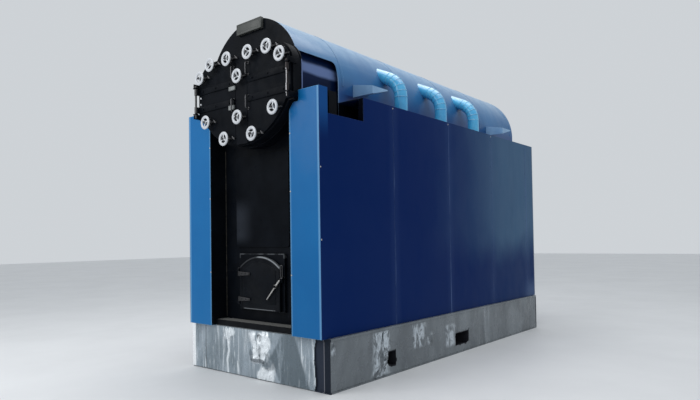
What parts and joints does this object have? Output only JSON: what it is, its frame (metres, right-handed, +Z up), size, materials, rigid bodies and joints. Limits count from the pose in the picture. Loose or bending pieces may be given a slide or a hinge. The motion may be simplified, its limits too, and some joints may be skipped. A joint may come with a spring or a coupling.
{
  "type": "packaged industrial steam boiler",
  "caption": "Packaged solid-fuel steam boiler: smoke-tube drum over a clad furnace, hinged smoke-box leaves and fire door, on a steel base frame.",
  "frame": {"origin": "centre of the base frame's underside, at floor level", "axes": "+X to the right seen from the front, +Y to the rear, +Z up; the fire door faces -Y"},
  "size_m": [2.26, 5.45, 3.9948],
  "materials": {
    "black_paint": "near-black semi-gloss paint",
    "navy_paint": "glossy navy enamel",
    "column_blue": "glossy bright blue enamel",
    "cladding_blue": "blue-grey semi-gloss paint",
    "pipe_blue": "light blue gloss paint",
    "grey_plate": "grey satin plate",
    "wheel_white": "white enamelled cast handwheel",
    "bright_steel": "bare worn steel",
    "base_steel": "grey primer",
    "fire_brick": null,
    "grate_iron": "rough cast iron",
    "tube_steel": "dull scaled steel"
  },
  "bodies": {
    "boiler": {"base_frame": "base_steel", "base_deck": "base_steel", "base_cross_members": "base_steel", "side_wall_cores": "navy_paint", "rear_wall_core": "navy_paint", "housing_sheets": "navy_paint", "roof_decks": "navy_paint", "front_columns": "column_blue", "recess_liners": "black_paint", "recess_sill": "base_steel", "furnace_front_sides": "black_paint", "furnace_front_sill": "black_paint", "furnace_front_lintel": "black_paint", "recess_cover": "black_paint", "furnace_lining": "fire_brick", "grate": "grate_iron", "drum_shell": "cladding_blue", "tube_bundle": "tube_steel", "drum_cladding": "cladding_blue", "cladding_rear_plate": "cladding_blue", "cladding_front_plate": "black_paint", "name_plate": "grey_plate", "smoke_box_wall": "black_paint", "smoke_box_flange": "black_paint", "smoke_box_back": "black_paint", "smoke_box_centre_bar": "black_paint", "smoke_door_pins": "bright_steel", "centre_handwheels": "wheel_white", "centre_clamp_screws": "bright_steel", "fire_door_frame": "black_paint", "fire_door_lugs": "black_paint", "riser_pipes": "pipe_blue", "drum_brackets": "cladding_blue"},
    "left_smoke_door": {"left_smoke_leaf": "black_paint", "left_leaf_fittings": "black_paint", "left_handwheels": "wheel_white", "left_clamp_screws": "bright_steel"},
    "right_smoke_door": {"right_smoke_leaf": "black_paint", "right_leaf_fittings": "black_paint", "right_handwheels": "wheel_white", "right_clamp_screws": "bright_steel"},
    "fire_door": {"fire_door_leaf": "black_paint", "fire_door_straps": "black_paint"},
    "fire_door_latch": {"fire_door_latch": "bright_steel"}
  },
  "joints": [
    {"name": "left_smoke_door_hinge", "type": "hinge", "parent": "boiler", "child": "left_smoke_door", "pos_m": [-0.77, -2.77, 3.17], "axis": [0, 0, -1], "range_deg": [0, 110]},
    {"name": "right_smoke_door_hinge", "type": "hinge", "parent": "boiler", "child": "right_smoke_door", "pos_m": [0.77, -2.77, 3.17], "axis": [0, 0, 1], "range_deg": [0, 110]},
    {"name": "fire_door_hinge", "type": "hinge", "parent": "boiler", "child": "fire_door", "pos_m": [-0.352, -2.49, 1], "axis": [0, 0, -1], "range_deg": [0, 100]},
    {"name": "fire_door_latch_pivot", "type": "hinge", "parent": "fire_door", "child": "fire_door_latch", "pos_m": [0.285, -2.517, 1.02], "axis": [0, 1, 0], "range_deg": [0, 55]}
  ]
}
